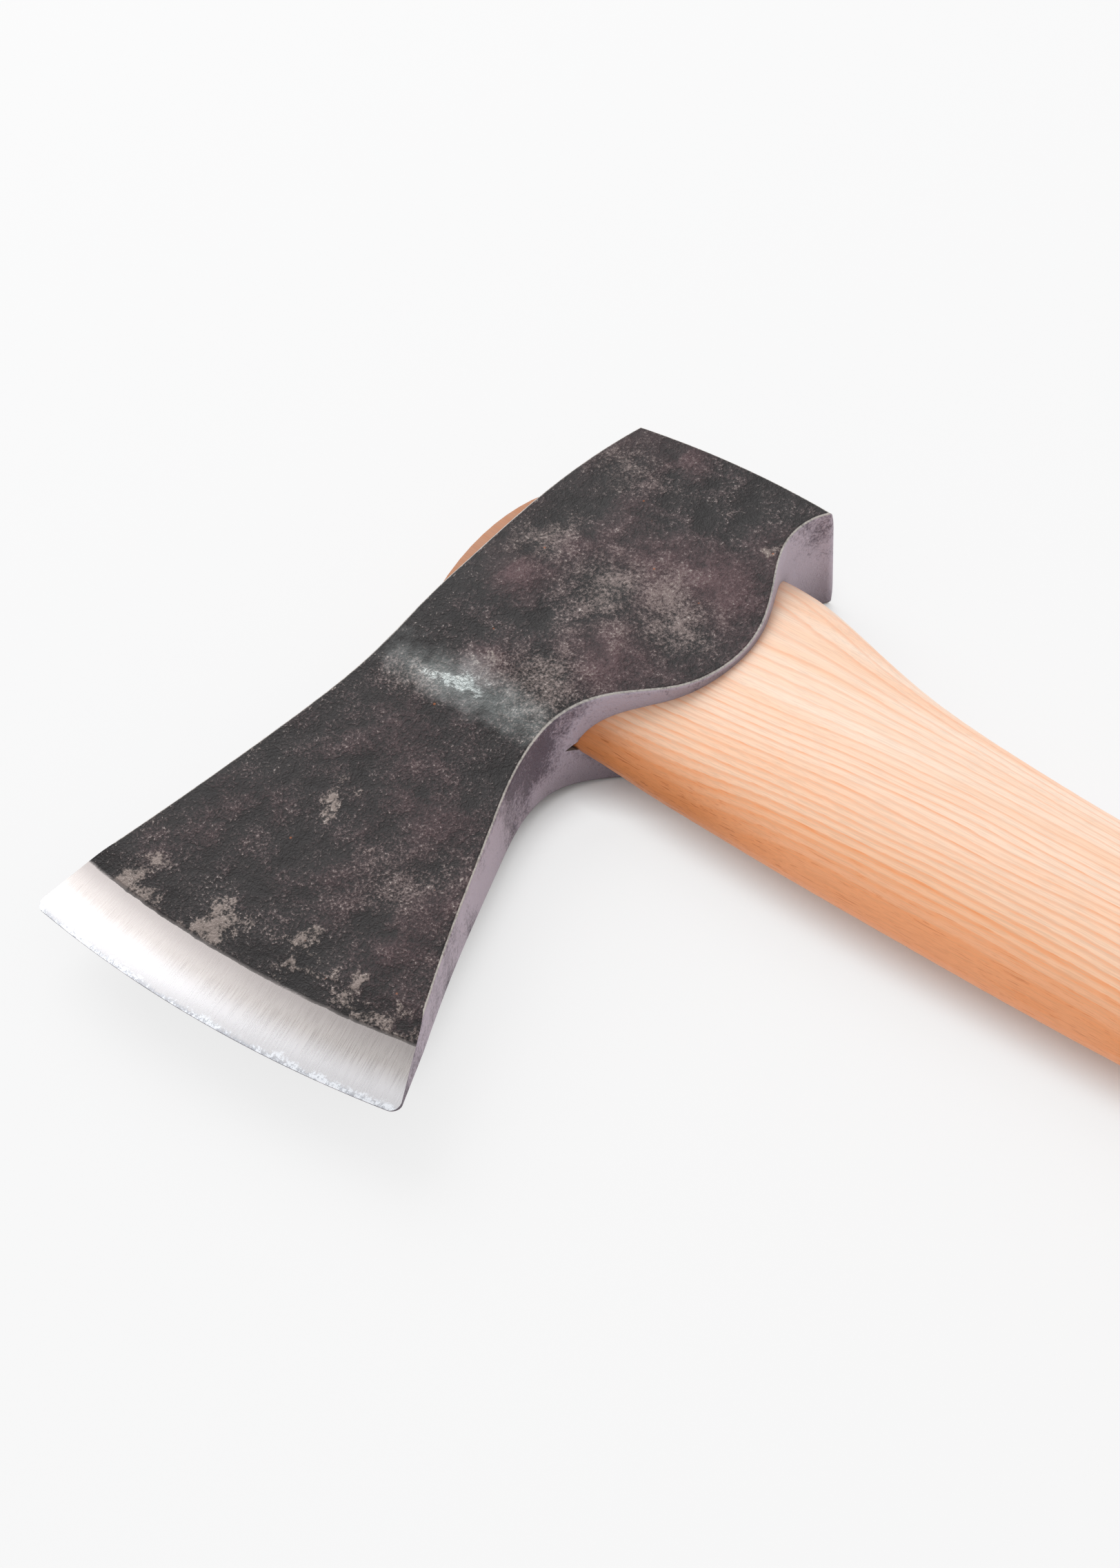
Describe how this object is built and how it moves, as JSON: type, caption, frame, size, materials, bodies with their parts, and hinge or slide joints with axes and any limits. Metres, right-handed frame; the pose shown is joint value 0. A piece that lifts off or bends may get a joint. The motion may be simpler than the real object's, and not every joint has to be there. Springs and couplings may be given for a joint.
{
  "type": "carving hatchet",
  "caption": "Small carving hatchet: forged head with long ears and a ground bevel, wedged and stapled on a curved hickory haft with a swelled butt.",
  "frame": {"origin": "middle of the whole hatchet in plan, on the plane of the flat cheek that it lies on", "axes": "+X runs down the haft from the head to the butt, +Y towards the poll and away from the cutting edge, +Z through the thickness"},
  "size_m": [0.358, 0.1514, 0.0245],
  "materials": {
    "forged_steel": "dark forge scale on the cheeks, bright ground bevels",
    "hickory": "oiled and satin, grain along the haft",
    "wedge_wood": "end grain sanded flush with the haft",
    "staple_steel": "plain steel"
  },
  "bodies": {
    "root": {"axe_head": "forged_steel", "haft": "hickory", "wooden_wedge": "wedge_wood", "three_legged_staple": "staple_steel"}
  },
  "joints": []
}
